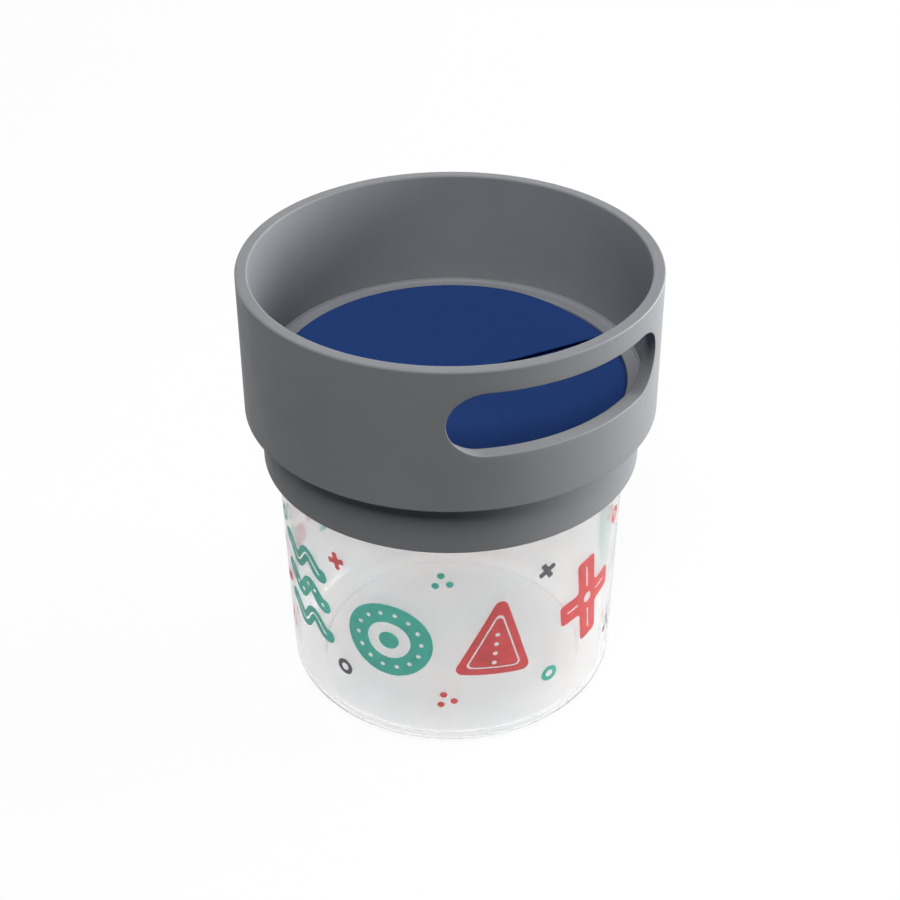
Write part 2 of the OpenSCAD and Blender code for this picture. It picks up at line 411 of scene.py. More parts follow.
def fill_window(bm, grid, hole):
    """Triangles between a patch of the wall's own vertices and the slot's edge.

    grid is rows of vertices over the patch, and hole is the ring of vertices round the slot."""
    rows, columns = len(grid), len(grid[0])
    border = list(grid[0])
    border += [grid[r][-1] for r in range(1, rows)]
    border += [grid[-1][c] for c in range(columns - 2, -1, -1)]
    border += [grid[r][0] for r in range(rows - 2, 0, -1)]
    hole_r = SLOT_END_R + SLOT_ROUND
    room = 0.5 * MM
    slack = 0.01 * MM

    def distance(point):
        return slot_distance(point.x, point.z)

    inside = [v for row in grid[1:-1] for v in row[1:-1] if distance(v.co) > hole_r + room]
    verts = border + list(hole) + inside
    flat = [Vector((math.atan2(v.co.x, -v.co.y) * WALL_R, v.co.z)) for v in verts]
    edges = closed_edges(0, len(border)) + closed_edges(len(border), len(hole))
    _, _, faces, originals, _, _ = delaunay_2d_cdt(flat, edges, [], 0, 1e-9)
    for face in faces:
        corners = [verts[originals[i][0]] for i in face]
        middle = sum((v.co for v in corners), Vector()) / 3
        on_hole = all(distance(v.co) < hole_r + slack for v in corners)
        if distance(middle) > hole_r - slack or not on_hole:
            bm.faces.new(corners)


def make_collar():
    bm = bmesh.new()
    outline = collar_outline()
    low_z, high_z, half = slot_window()

    def in_window(r, z, wall):
        return abs(r - wall) < SAME and low_z - SAME < z < high_z + SAME

    outer = [i for i, (r, z) in enumerate(outline) if in_window(r, z, WALL_R)]
    inner = [i for i, (r, z) in enumerate(outline) if in_window(r, z, wall_in_r(z))]
    skipped = set(outer[:-1]) | set(inner[:-1])

    def skip(i, k):
        return i in skipped and (k < half or k >= SEGMENTS - half)

    rings = lathe(bm, outline, skip)
    strip = slot_strip(bm)
    columns = range(-half, half + 1)
    fill_window(bm, [[rings[i][k % SEGMENTS] for k in columns] for i in outer], strip[0])
    fill_window(bm, [[rings[i][k % SEGMENTS] for k in columns] for i in inner], strip[-1])
    helical_ridge(bm, SKIRT_IN_R, -1, THREAD_Z - THREAD_LEAD / 2)
    collar = link("collar_moulding", bm)
    collar.data.materials.append(grey_plastic("collar_grey", COLLAR_GREY))
    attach(collar, "collar")
    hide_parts("collar")


# ---------------------------------------------------------------- retaining ring
def make_ring():
    """The clamp ring, with a flat top that curves up into the wall."""
    bm = bmesh.new()
    top_r = wall_in_r(RING_TOP_Z) - FIT_GAP
    flat_z = UPPER_Z + RING_T
    turn = math.acos(1 - (RING_TOP_Z - flat_z) / COVE_R)
    flat_r = top_r - FEATHER - COVE_R * math.sin(turn)
    steps = 14
    corners = [
        (RING_IN_R, UPPER_Z, RING_ROUND),
        (RING_OUT_R, UPPER_Z, RING_ROUND),
        (top_r, RING_TOP_Z, RING_TOP_ROUND),
        (flat_r + COVE_R * math.sin(turn), RING_TOP_Z, FEATHER_ROUND),
    ]
    for k in range(steps - 1, -1, -1):
        a = turn * k / steps
        corners.append((flat_r + COVE_R * math.sin(a), flat_z + COVE_R * (1 - math.cos(a)), 0))
    corners.append((RING_IN_R, flat_z, RING_T / 2))
    lathe(bm, rounded(corners, steps=4, land=0.12 * MM))
    ring = link("clamp_ring", bm)
    ring.data.materials.append(grey_plastic("ring_grey", RING_GREY))
    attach(ring, "collar")
    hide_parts("retaining_ring")


# ---------------------------------------------------------------- cup and gasket
def make_cup():
    bm = bmesh.new()
    foot_r = BASE_R - CORNER_R - FOOT_W
    in_corner_r = CORNER_R - CUP_WALL
    corners = [
        (0, FOOT_H, 0),
        (foot_r - FOOT_BEVEL, FOOT_H, RECESS_ROUND),
        (foot_r, 0, FOOT_ROUND),
        (BASE_R, 0, 0.999 * CORNER_R),
        (BASE_R, CORNER_R, 0),
        (BODY_R, SHOULDER_Z, SHOULDER_ROUND),
        (NECK_R, SHOULDER_Z + SHOULDER_H, NECK_ROUND),
        (NECK_R, CUP_H, CUP_WALL / 3),
        (NECK_IN_R, CUP_H, CUP_WALL / 3),
        (NECK_IN_R, SHOULDER_Z + SHOULDER_H, INSIDE_ROUND),
        (BODY_R - CUP_WALL, SHOULDER_Z, INSIDE_ROUND),
        (BASE_R - CUP_WALL, FLOOR_T + in_corner_r, 0),
        (BASE_R - CUP_WALL, FLOOR_T, 0.999 * in_corner_r),
        (0, FLOOR_T, 0),
    ]
    lathe(bm, rounded(corners, steps=8))
    helical_ridge(bm, NECK_R, 1, THREAD_Z)
    cup = link("cup_tub", bm)
    cup.data.materials.append(frosted_plastic())
    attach(cup, "cup")
    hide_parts("cup")


def make_gasket():
    bm = bmesh.new()
    corners = [
        (NECK_IN_R, CUP_H, GASKET_ROUND),
        (GASKET_R, CUP_H, GASKET_ROUND),
        (GASKET_R, GASKET_TOP_Z, GASKET_ROUND),
        (NECK_IN_R, GASKET_TOP_Z, GASKET_ROUND),
    ]
    lathe(bm, rounded(corners, steps=4))
    gasket = link("silicone_gasket", bm)
    gasket.data.materials.append(silicone())
    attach(gasket, "gasket")
    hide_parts("gasket")


# ---------------------------------------------------------------- shapes of the print, flat and in mm
POINT_SPACING = 0.7
LINE_SPACING = 0.8
CORNER_LAND = 0.3
LONGEST_SIDE = 0.9
INLINE_W = 0.55
WAVE_HEIGHT = 2.1
WAVE_LENGTH = 10.5


def circle(x, y, radius):
    count = max(14, round(2 * math.pi * radius / POINT_SPACING))
    turns = [2 * math.pi * k / count for k in range(count)]
    return [(x + radius * math.cos(t), y + radius * math.sin(t)) for t in turns]


def polygon(corners, rounding, scale=1.0, centre=(0, 0)):
    """A polygon with rounded corners, shrunk towards centre by scale."""
    cx, cy = centre
    moved = [(cx + (x - cx) * scale, cy + (y - cy) * scale, rounding) for x, y in corners]
    return rounded(moved, 6, CORNER_LAND, LONGEST_SIDE)


def arc_path(x, y, radius, start, end):
    """Points along an arc, from one angle to another in degrees."""
    length = abs(end - start) / 360 * 2 * math.pi * radius
    count = max(3, round(length / POINT_SPACING))
    turns = [math.radians(start + (end - start) * k / count) for k in range(count + 1)]
    return [(x + radius * math.cos(t), y + radius * math.sin(t)) for t in turns]


def line_path(x0, y0, x1, y1):
    count = max(2, round(math.hypot(x1 - x0, y1 - y0) / LINE_SPACING))
    return [(x0 + (x1 - x0) * k / count, y0 + (y1 - y0) * k / count) for k in range(count + 1)]


def stroke(path, width):
    """Closed outline of a line with round ends."""
    points = [Vector(p) for p in path]
    half = width / 2
    left, right = [], []
    for i, point in enumerate(points):
        along = (points[min(i + 1, len(points) - 1)] - points[max(i - 1, 0)]).normalized()
        side = Vector((-along.y, along.x)) * half
        left.append(point + side)
        right.append(point - side)
    steps = max(3, round(math.pi * half / POINT_SPACING))

    def cap(middle, start):
        turns = [-math.pi * k / steps for k in range(1, steps)]
        return [middle + Matrix.Rotation(-t, 2) @ (start - middle) for t in turns]

    outline = right + cap(points[-1], right[-1]) + left[::-1] + cap(points[0], left[0])
    return [(p.x, p.y) for p in outline]


def rings_motif():
    turns = [2 * math.pi * k / 14 for k in range(14)]
    dots = [circle(8.5 * math.cos(t), 8.5 * math.sin(t), 0.62) for t in turns]
    return [circle(0, 0, 11.4), circle(0, 0, 5.7), circle(0, 0, 2.7)] + dots


def arch_path(radius, leg):
    """A half circle on two straight legs."""
    up = line_path(-radius, -leg, -radius, 0)
    over = arc_path(0, 0, radius, 180, 0)
    down = line_path(radius, 0, radius, -leg)
    return up[:-1] + over + down[1:]


def arch_motif():
    inline = arch_path(7.7, 9.5)[3:-3]
    wide = stroke(arch_path(7.7, 12), 4.8)
    narrow = stroke(arch_path(1.9, 12), 3.0)
    return [wide, stroke(inline, INLINE_W), narrow]


def triangle_motif():
    corners = [(-10.5, -12), (10.5, -12), (0, 14.5)]
    centre = (0, -4.9)
    dots = [circle(0, y, 0.65) for y in (-8.2, -5.2, -2.2, 0.8)]
    return [
        polygon(corners, 1.8),
        polygon(corners, 1.2, 0.72, centre),
        polygon(corners, 1.0, 0.655, centre),
    ] + dots


def diamond_motif():
    corners = [(0, -15.5), (9.8, 0), (0, 15.5), (-9.8, 0)]
    return [
        polygon(corners, 1.6),
        polygon(corners, 1.0, 0.79),
        polygon(corners, 0.9, 0.735),
        polygon(corners, 0.7, 0.36),
    ]


def cross_corners(half_arm, half_w, half_h):
    """Corners of an upright cross, from the lower left of its foot."""
    a, w, h = half_arm, half_w, half_h
    lower = [(-a, -h), (a, -h), (a, -a), (w, -a)]
    upper = [(w, a), (a, a), (a, h), (-a, h)]
    return lower + upper + [(-a, a), (-w, a), (-w, -a), (-a, -a)]


def cross_motif():
    lines = [
        line_path(0, 4.2, 0, 10.4),
        line_path(0, -4.2, 0, -10.4),
        line_path(4.2, 0, 7.6, 0),
        line_path(-4.2, 0, -7.6, 0),
    ]
    outline = polygon(cross_corners(3.4, 10.2, 13.2), 1.3)
    return [outline, circle(0, 0, 1.5)] + [stroke(line, 0.6) for line in lines]


def wave_y(x):
    return WAVE_HEIGHT * math.sin(2 * math.pi * x / WAVE_LENGTH)


def wave_path(y, start, end):
    count = 34
    xs = [start + (end - start) * k / count for k in range(count + 1)]
    return [(x, y + wave_y(x)) for x in xs]


def waves_motif():
    bands = [stroke(wave_path(y, -8.4, 8.4), 4.2) for y in (-9.4, 0, 9.4)]
    inlines = [stroke(wave_path(y, -7.2, 7.2), INLINE_W) for y in (-9.4, 9.4)]
    dots = [circle(x, wave_y(x), 0.6) for x in (-7.5, -4.5, -1.5, 1.5, 4.5, 7.5)]
    return bands + inlines + dots


def sun_motif():
    base_y = -9
    half = arc_path(0, base_y, 9.6, 0, 180)
    inner = arc_path(0, base_y, 6.6, 12, 168)
    rays = []
    for angle in (20, 55, 90, 125, 160):
        c = math.cos(math.radians(angle))
        s = math.sin(math.radians(angle))
        ray = line_path(13 * c, base_y + 13 * s, 18.5 * c, base_y + 18.5 * s)
        rays.append(stroke(ray, 2.3))
    corners = [(x, y, 0.9 if abs(y - base_y) < 1e-6 else 0) for x, y in half]
    return [rounded(corners, 5, CORNER_LAND, LONGEST_SIDE), stroke(inner, 0.6)] + rays


def leaf_motif():
    reach, radius = 14.6, 17.5
    centre = math.sqrt(radius**2 - reach**2)
    lean = math.degrees(math.asin(reach / radius))
    right = arc_path(-centre, 0, radius, -lean, lean)
    left = arc_path(centre, 0, radius, 180 - lean, 180 + lean)
    veins = [line_path(0, -10.5, 0, 11)]
    for y in (-6.5, -1.5, 3.5):
        veins.append(line_path(1.1, y, 4.1, y + 3.6))
        veins.append(line_path(-1.1, y, -4.1, y + 3.6))
    return [right[:-1] + left[:-1]] + [stroke(vein, INLINE_W) for vein in veins]


def squares_motif():
    corners = [(-9.3, -9.3), (9.3, -9.3), (9.3, 9.3), (-9.3, 9.3)]
    dots = [circle(x, y, 1.0) for x in (-4.6, 0, 4.6) for y in (-4.6, 0, 4.6)]
    return [polygon(corners, 2.2)] + dots


def hourglass_motif():
    top = [(-9.6, 14), (0, 1.0), (9.6, 14)]
    bottom = [(-9.6, -14), (9.6, -14), (0, -1.0)]
    centre = 9.8
    return [
        polygon(top, 1.3),
        polygon(bottom, 1.3),
        circle(0, 0, 1.25),
        polygon(top, 0.6, 0.56, (0, centre)),
        polygon(bottom, 0.6, 0.56, (0, -centre)),
    ]


def small_cross():
    return [polygon(cross_corners(0.75, 2.5, 2.5), 0.3)]


def small_ring():
    return [circle(0, 0, 2.4), circle(0, 0, 1.1)]


def small_dots():
    return [circle(0, 1.7, 0.95), circle(-1.8, -1.2, 0.95), circle(1.8, -1.2, 0.95)]


# ---------------------------------------------------------------- print on the cup
INK_OUT = 0.02 * MM
INK_SINK = 0.03 * MM
FILL_SPACING = 1.5
FILL_ROW_STEP = 0.87
FILL_CLEAR = 0.6

# ink, shape, degrees to the right of the camera, height of its middle in mm, turn in degrees
FIGURES = (
    ("teal", waves_motif, -58, 37.5, 4),
    ("teal", rings_motif, -21, 34.0, 0),
    ("coral", triangle_motif, 15, 36.0, -5),
    ("coral", cross_motif, 52, 36.5, 7),
    ("teal", leaf_motif, 96, 33.5, 10),
    ("coral", squares_motif, 129, 37.0, -8),
    ("teal", arch_motif, 160, 36.0, 0),
    ("coral", diamond_motif, 197, 35.0, 6),
    ("teal", hourglass_motif, 231, 36.0, -6),
    ("coral", sun_motif, 264, 35.0, 0),
)
ACCENTS = (
    ("coral", small_cross, -40, 53.5, 12),
    ("grey", small_ring, -39, 19.5, 0),
    ("teal", small_dots, -3, 55.0, 8),
    ("coral", small_dots, -2, 16.5, 20),
    ("grey", small_cross, 32, 53.0, 30),
    ("teal", small_ring, 35, 18.5, 0),
    ("coral", small_ring, 70, 54.0, 0),
    ("grey", small_dots, 71, 18.0, 0),
    ("coral", small_cross, 105, 53.5, 15),
    ("teal", small_dots, 107, 17.0, 30),
    ("grey", small_ring, 141, 54.5, 0),
    ("teal", small_cross, 144, 19.0, 20),
    ("coral", small_dots, 179, 54.0, 10),
    ("grey", small_cross, 180, 17.5, 5),
    ("coral", small_ring, 214, 19.5, 0),
    ("teal", small_dots, 215, 54.5, 0),
    ("coral", small_cross, 250, 17.5, 25),
    ("grey", small_dots, 251, 55.0, 15),
    ("teal", small_ring, 286, 53.0, 0),
    ("coral", small_dots, 285, 18.5, 0),
)


def cup_r(z):
    """Radius of the cup's outside at height z, above its rounded lower corner."""
    return BASE_R + CUP_TAPER * (z - CORNER_R) / (SHOULDER_Z - CORNER_R)


def is_inside(contours, x, y):
    """True if an odd number of the outlines goes round the point."""
    odd = False
    for contour in contours:
        x0, y0 = contour[-1]
        for x1, y1 in contour:
            if (y0 > y) != (y1 > y) and x < x0 + (x1 - x0) * (y - y0) / (y1 - y0):
                odd = not odd
            x0, y0 = x1, y1
    return odd


def fill_shape(contours):
    """Points and triangles of a flat shape, small enough to bend round the cup."""
    outline, edges = [], []
    for contour in contours:
        edges += closed_edges(len(outline), len(contour))
        outline += contour
    reach = max(max(abs(x), abs(y)) for x, y in outline)
    steps = math.ceil(reach / FILL_SPACING)
    inside = []
    for i in range(-steps, steps + 1):
        for j in range(-steps, steps + 1):
            x = (i + 0.5 * (j % 2)) * FILL_SPACING
            y = j * FILL_SPACING * FILL_ROW_STEP
            if min(math.hypot(x - px, y - py) for px, py in outline) > FILL_CLEAR:
                inside.append((x, y))
    points = [Vector(p) for p in outline + inside]
    flat, _, faces, _, _, _ = delaunay_2d_cdt(points, edges, [], 0, 1e-6)
    kept = []
    for face in faces:
        x = sum(flat[i].x for i in face) / 3
        y = sum(flat[i].y for i in face) / 3
        if is_inside(contours, x, y):
            kept.append(face)
    return flat, kept


def add_motif(bm, contours, azimuth, height, turn):
    """Adds one printed shape to bm, as a thin closed layer bent round the cup."""
    flat, faces = fill_shape(contours)
    spin = Matrix.Rotation(math.radians(turn), 2)
    middle_angle = CAMERA_AZIMUTH + math.radians(azimuth)
    layers = {}

    def vertex(i, lift):
        if (i, lift) not in layers:
            p = spin @ flat[i]
            z = (height + p.y) * MM
            angle = middle_angle + p.x * MM / cup_r(height * MM)
            layers[i, lift] = bm.verts.new(on_wheel(cup_r(z) + lift, z, angle))
        return layers[i, lift]

    edges = {}
    for face in faces:
        bm.faces.new([vertex(i, INK_OUT) for i in face])
        bm.faces.new([vertex(i, -INK_SINK) for i in reversed(face)])
        edges.update(dict.fromkeys(zip(face, face[1:] + face[:1])))
    for a, b in edges:
        if (b, a) not in edges:
            top = [vertex(b, INK_OUT), vertex(a, INK_OUT)]
            bm.faces.new(top + [vertex(a, -INK_SINK), vertex(b, -INK_SINK)])


def make_print():
    for ink, color in INKS.items():
        bm = bmesh.new()
        for name, motif, azimuth, height, turn in FIGURES + ACCENTS:
            if name == ink:
                add_motif(bm, motif(), azimuth, height, turn)
        layer = link("print_" + ink, bm, smooth=False)
        layer.data.materials.append(printed_ink("ink_" + ink, color))
        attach(layer, "cup")


# ---------------------------------------------------------------- fabric
FABRIC_ROWS = 76
FABRIC_COLUMNS = 132
FABRIC_TIP = math.radians(4)
EDGE_STEPS = 5
UV_SIZE = 0.1
FRONT_PUFF = 1.0 * MM
BACK_PUFF = 2.1 * MM
ROLL_W = 1.6 * MM
RIPPLE = 0.22 * MM
FRONT_SAG = 0.8 * MM
BEND_SOFT = 9 * MM
CLAMPED_W = 1.5 * MM
FREE_W = 17 * MM


def smoothstep(low, high, value):
    """Eases from 0 at low to 1 at high."""
    t = min(1, max(0, (value - low) / (high - low)))
    return t * t * (3 - 2 * t)


def undulation(x, y, seed):
    """Slow waves in taut cloth, between -1 and 1."""
    return noise(Vector((x / (17 * MM), y / (13 * MM), seed)))


def slit_turn(back):
    """The turn of a half's own frame, in which its free edge faces +Y; back is the upper half."""
    return Matrix.Rotation(SLIT_ANGLE + (math.pi if back else 0), 4, "Z")


def cloth_rise(x, y, free, back):
    """Height of the cloth's middle above its clamped level, in the half's own frame."""
    r = math.hypot(x, y)
    if r >= RING_IN_R:
        return 0.0
    flatness = max(0, 1 - (RING_IN_R - r) / ROLL_W)
    roll = math.sqrt(max(0, 1 - flatness**2))
    inward = smoothstep(RING_IN_R, RING_IN_R - 14 * MM, r)
    near_slit = smoothstep(free - 32 * MM, free - 2 * MM, y)
    puff = (BACK_PUFF if back else FRONT_PUFF) * roll * (1 - 0.9 * near_slit)
    ripple = RIPPLE * undulation(x, y, 3.7 if back else 9.1) * inward * (1 - 0.6 * near_slit)
    sag = 0.0 if back else FRONT_SAG * near_slit * inward
    return puff + ripple - sag


def cloth_sides(bm, free, back):
    """Rows of vertices of the upper and the lower side, from the hem to the free edge."""
    middle_z = UPPER_Z - FABRIC_T / 2 if back else LOWER_Z + FABRIC_T / 2
    first = -HEM_R * math.cos(FABRIC_TIP)
    tops, bottoms = [], []
    for j in range(FABRIC_ROWS + 1):
        y = first + (free - first) * j / FABRIC_ROWS
        half_w = math.sqrt(max(HEM_R**2 - y * y, 0))
        tops.append([])
        bottoms.append([])
        for i in range(FABRIC_COLUMNS + 1):
            x = half_w * math.sin(math.pi / 2 * (2 * i / FABRIC_COLUMNS - 1))
            z = middle_z + cloth_rise(x, y, free, back)
            tops[j].append(bm.verts.new((x, y, z + FABRIC_T / 2)))
            bottoms[j].append(bm.verts.new((x, y, z - FABRIC_T / 2)))
    return tops, bottoms


def bridge(bm, one, other):
    """Faces between two open rows of vertices."""
    for k in range(len(one) - 1):
        bm.faces.new((one[k], one[k + 1], other[k + 1], other[k]))


def round_free_edge(bm, tops, bottoms):
    """A half-round edge that joins the two sides of the cloth and faces +Y."""
    previous = tops
    for k in range(1, EDGE_STEPS):
        a = math.pi * k / EDGE_STEPS
        outward = Vector((0, FABRIC_T / 2 * math.sin(a), 0))
        row = []
        for top, bottom in zip(tops, bottoms):
            middle = (top.co + bottom.co) / 2
            half = (top.co - bottom.co) / 2
            row.append(bm.verts.new(middle + half * math.cos(a) + outward))
        bridge(bm, previous, row)
        previous = row
    bridge(bm, previous, bottoms)


def set_flat_uv(bm, layer):
    """Lays the weave flat on the cloth."""
    for face in bm.faces:
        for loop in face.loops:
            loop[layer].uv = (loop.vert.co.x / UV_SIZE, loop.vert.co.y / UV_SIZE)


def fabric_half(name, free, back):
    """One half of the fabric, with its free edge at y = free in its own frame."""
    bm = bmesh.new()
    layer = bm.loops.layers.uv.new("UVMap")
    tops, bottoms = cloth_sides(bm, free, back)
    for row in range(FABRIC_ROWS):
        bridge(bm, tops[row], tops[row + 1])
        bridge(bm, bottoms[row], bottoms[row + 1])
    round_free_edge(bm, tops[-1], bottoms[-1])
    for side in (0, -1):
        bridge(bm, [row[side] for row in tops], [row[side] for row in bottoms])
    bridge(bm, tops[0], bottoms[0])
    set_flat_uv(bm, layer)
    bmesh.ops.transform(bm, matrix=slit_turn(back), verts=bm.verts)
    return link(name, bm)


def blend_flap(obj, body, back):
    """The cloth follows its flap in the middle, and stays with the collar at the ring."""
    turn = slit_turn(back)
    start = turn @ Vector((0, -BEND_DISTANCE - BEND_SOFT, UPPER_Z))
    end = turn @ Vector((0, -BEND_DISTANCE + BEND_SOFT, UPPER_Z))
    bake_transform(obj, "collar", body, start=start, end=end)
    weights = obj.data.attributes["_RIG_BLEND"].data
    for vertex, weight in zip(obj.data.vertices, weights):
        r = math.hypot(vertex.co.x, vertex.co.y)
        weight.value *= smoothstep(RING_IN_R - CLAMPED_W, RING_IN_R - FREE_W, r)


def make_fabric():
    material = woven_fabric()
    for name, body, margin, back, free in (
        ("front_fabric", "front_flap", "front_flap_margin", False, OVERLAP - SLIT_OFFSET),
        ("back_fabric", "back_flap", "back_flap_margin", True, SLIT_OFFSET),
    ):
        cloth = fabric_half(name, free, back)
        cloth.data.materials.append(material)
        blend_flap(cloth, body, back)
        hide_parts(body, margin)


# ---------------------------------------------------------------- colours and materials
def srgb(r, g, b):
    """Linear colour from 0 to 255 screen values."""

    def linear(v):
        v /= 255
        return v / 12.92 if v <= 0.04045 else ((v + 0.055) / 1.055) ** 2.4

    return (linear(r), linear(g), linear(b), 1.0)


COLLAR_GREY = srgb(130, 132, 135)
RING_GREY = srgb(130, 132, 136)
CUP_COOL = srgb(248, 251, 252)
CUP_WARM = srgb(254, 251, 250)
FABRIC_BLUE = srgb(32, 61, 119)
SILICONE_GREY = srgb(214, 216, 220)
INKS = {
    "teal": srgb(106, 204, 188),
    "coral": srgb(238, 114, 116),
    "grey": srgb(122, 123, 128),
}
WHITE = (1, 1, 1, 1)
BLACK = (0, 0, 0, 1)

# Painted shade in the cup's colour: this factor darkens it toward the neck, standing in for the collar's
# shadow
NECK_PAINTED_SHADE = 0.86
# Painted shadow in the cup's floor: darkest inside the first radius and gone at the second, standing in for
# the shadow under the cup
FLOOR_PAINTED_SHADOW = 0.86
FLOOR_PAINTED_SHADOW_R = 27 * MM
FLOOR_CLEAR_R = 38 * MM
YARN_SCALE = 290 / 6.2832


class Nodes:
    """Short calls for building a node tree."""

    def __init__(self, tree):
        self.tree = tree

    def add(self, kind, links=(), **settings):
        """A node of that kind; links maps its inputs to sockets or to plain values."""
        node = self.tree.nodes.new(kind)
        for key, value in settings.items():
            setattr(node, key, value)
        for key, value in dict(links).items():
            self.put(node.inputs[key], value)
        return node

    def put(self, socket, value):
        """Links a socket to the value, or sets its value if that is a plain one."""
        if isinstance(value, bpy.types.NodeSocket):
            self.tree.links.new(value, socket)
        else:
            socket.default_value = value

    def coordinates(self, kind="Object"):
        return self.add("ShaderNodeTexCoord").outputs[kind]

    def combine(self, operation, a, b):
        return self.add("ShaderNodeMath", {0: a, 1: b}, operation=operation).outputs[0]

    def noise(self, where, scale, detail=2.0, roughness=0.5):
        settings = {"Vector": where, "Scale": scale, "Detail": detail, "Roughness": roughness}
        return self.add("ShaderNodeTexNoise", settings).outputs["Fac"]

    def spread(self, value, low, high, from_low=0.3, from_high=0.7):
        """Maps from_low to low and from_high to high, and stops there."""
        settings = {
            "Value": value,
            "From Min": from_low,
            "From Max": from_high,
            "To Min": low,
            "To Max": high,
        }
        return self.add("ShaderNodeMapRange", settings).outputs["Result"]

    def mix(self, factor, a, b):
        node = self.add("ShaderNodeMix", data_type="RGBA")
        self.put(node.inputs["Factor"], factor)
        self.put(node.inputs[6], a)
        self.put(node.inputs[7], b)
        return node.outputs[2]

    def bump(self, height, distance, strength):
        settings = {"Height": height, "Distance": distance, "Strength": strength}
        return self.add("ShaderNodeBump", settings).outputs["Normal"]


class Material(Nodes):
    """A new material with a Principled shader."""

    def __init__(self, name):
        self.material = bpy.data.materials.new(name)
        self.material.use_nodes = True
        super().__init__(self.material.node_tree)
        self.shader = self.tree.nodes["Principled BSDF"]
        self.output = self.tree.nodes["Material Output"]

    def set(self, **values):
        """Sets the shader's sockets; underscores in a name stand for spaces."""
        for key, value in values.items():
            self.put(self.shader.inputs[key.replace("_", " ")], value)


def shade(color, factor):
    r, g, b, _ = color
    return (r * factor, g * factor, b * factor, 1.0)


def grey_plastic(name, color):
    """Matte moulded polypropylene with a fine eroded texture."""
    n = Material(name)
    where = n.coordinates()
    broad = n.noise(where, 45, 3)
    grain = n.noise(where, 2600, 3, 0.6)
    tone = n.mix(n.spread(broad, 0, 1), shade(color, 0.95), shade(color, 1.05))
    speck = n.mix(n.spread(grain, 0, 1, 0.35, 0.65), shade(color, 0.97), shade(color, 1.03))
    n.set(
        Base_Color=n.mix(0.4, tone, speck),
        Roughness=n.spread(n.noise(where, 160, 4), 0.46, 0.56),
        Normal=n.bump(grain, 0.012 * MM, 0.6),
        Specular_IOR_Level=0.15,
    )
    return n.material


def silicone():
    """Cloudy silicone with a dull skin."""
    n = Material("gasket_silicone")
    where = n.coordinates()
    haze = n.noise(where, 300, 3)
    n.set(
        Base_Color=n.mix(n.spread(haze, 0, 1), shade(SILICONE_GREY, 0.94), SILICONE_GREY),
        Roughness=n.spread(haze, 0.5, 0.62),
        Normal=n.bump(n.noise(where, 1800, 2), 0.01 * MM, 0.5),
        Subsurface_Weight=0.2,
        Subsurface_Scale=2 * MM,
    )
    return n.material


def frosted_plastic():
    """Translucent polypropylene: milky, softly clear, with cool and warm haze and a satin skin.

    Its colour is painted darker toward the neck, as shade from the collar above, and in the middle of the
    floor, as the shadow under the cup. The low IOR keeps its edges light."""
    n = Material("frosted_polypropylene")
    where = n.coordinates()
    haze = n.noise(where, 30, 4, 0.55)
    flow = n.noise(where, 110, 2)
    cloud = n.mix(n.spread(haze, 0, 1), CUP_COOL, CUP_WARM)
    height = n.add("ShaderNodeSeparateXYZ", {0: where}).outputs["Z"]
    # painted shade: the colour darkens from the base up to the neck, as if the collar shaded the cup
    wall = n.spread(height, 1.0, NECK_PAINTED_SHADE, 0, SKIRT_BOTTOM_Z)
    masked = {0: where, 1: (1, 1, 0)}
    level = n.add("ShaderNodeVectorMath", masked, operation="MULTIPLY").outputs[0]
    radius = n.add("ShaderNodeVectorMath", {0: level}, operation="LENGTH").outputs["Value"]
    # painted shadow: the middle of the floor is darker, standing in for the shadow under the cup
    floor = n.spread(radius, FLOOR_PAINTED_SHADOW, 1.0, FLOOR_PAINTED_SHADOW_R, FLOOR_CLEAR_R)
    # the base colour carries the painted shade of the neck and the painted shadow in the floor
    n.set(
        Base_Color=n.mix(n.combine("MULTIPLY", wall, floor), BLACK, cloud),
        Roughness=n.spread(haze, 0.09, 0.12),
        Normal=n.bump(flow, 0.03 * MM, 0.4),
        Transmission_Weight=0.87,
        IOR=1.12,
        Coat_Weight=0.6,
        Coat_Roughness=0.14,
        Coat_IOR=1.5,
    )
    return n.material


def printed_ink(name, color):
    """Screen ink on plastic: flat colour with thin patches, a satin surface and some light through it."""
    n = Material(name)
    where = n.coordinates()
    patches = n.noise(where, 260, 4, 0.65)
    fine = n.noise(where, 2400, 2)
    n.set(
        Base_Color=n.mix(n.spread(patches, 0, 1), shade(color, 0.9), shade(color, 1.12)),
        Roughness=n.spread(patches, 0.38, 0.5),
        Normal=n.bump(fine, 0.006 * MM, 0.5),
        Transmission_Weight=0.75,
        IOR=1.3,
    )
    return n.material


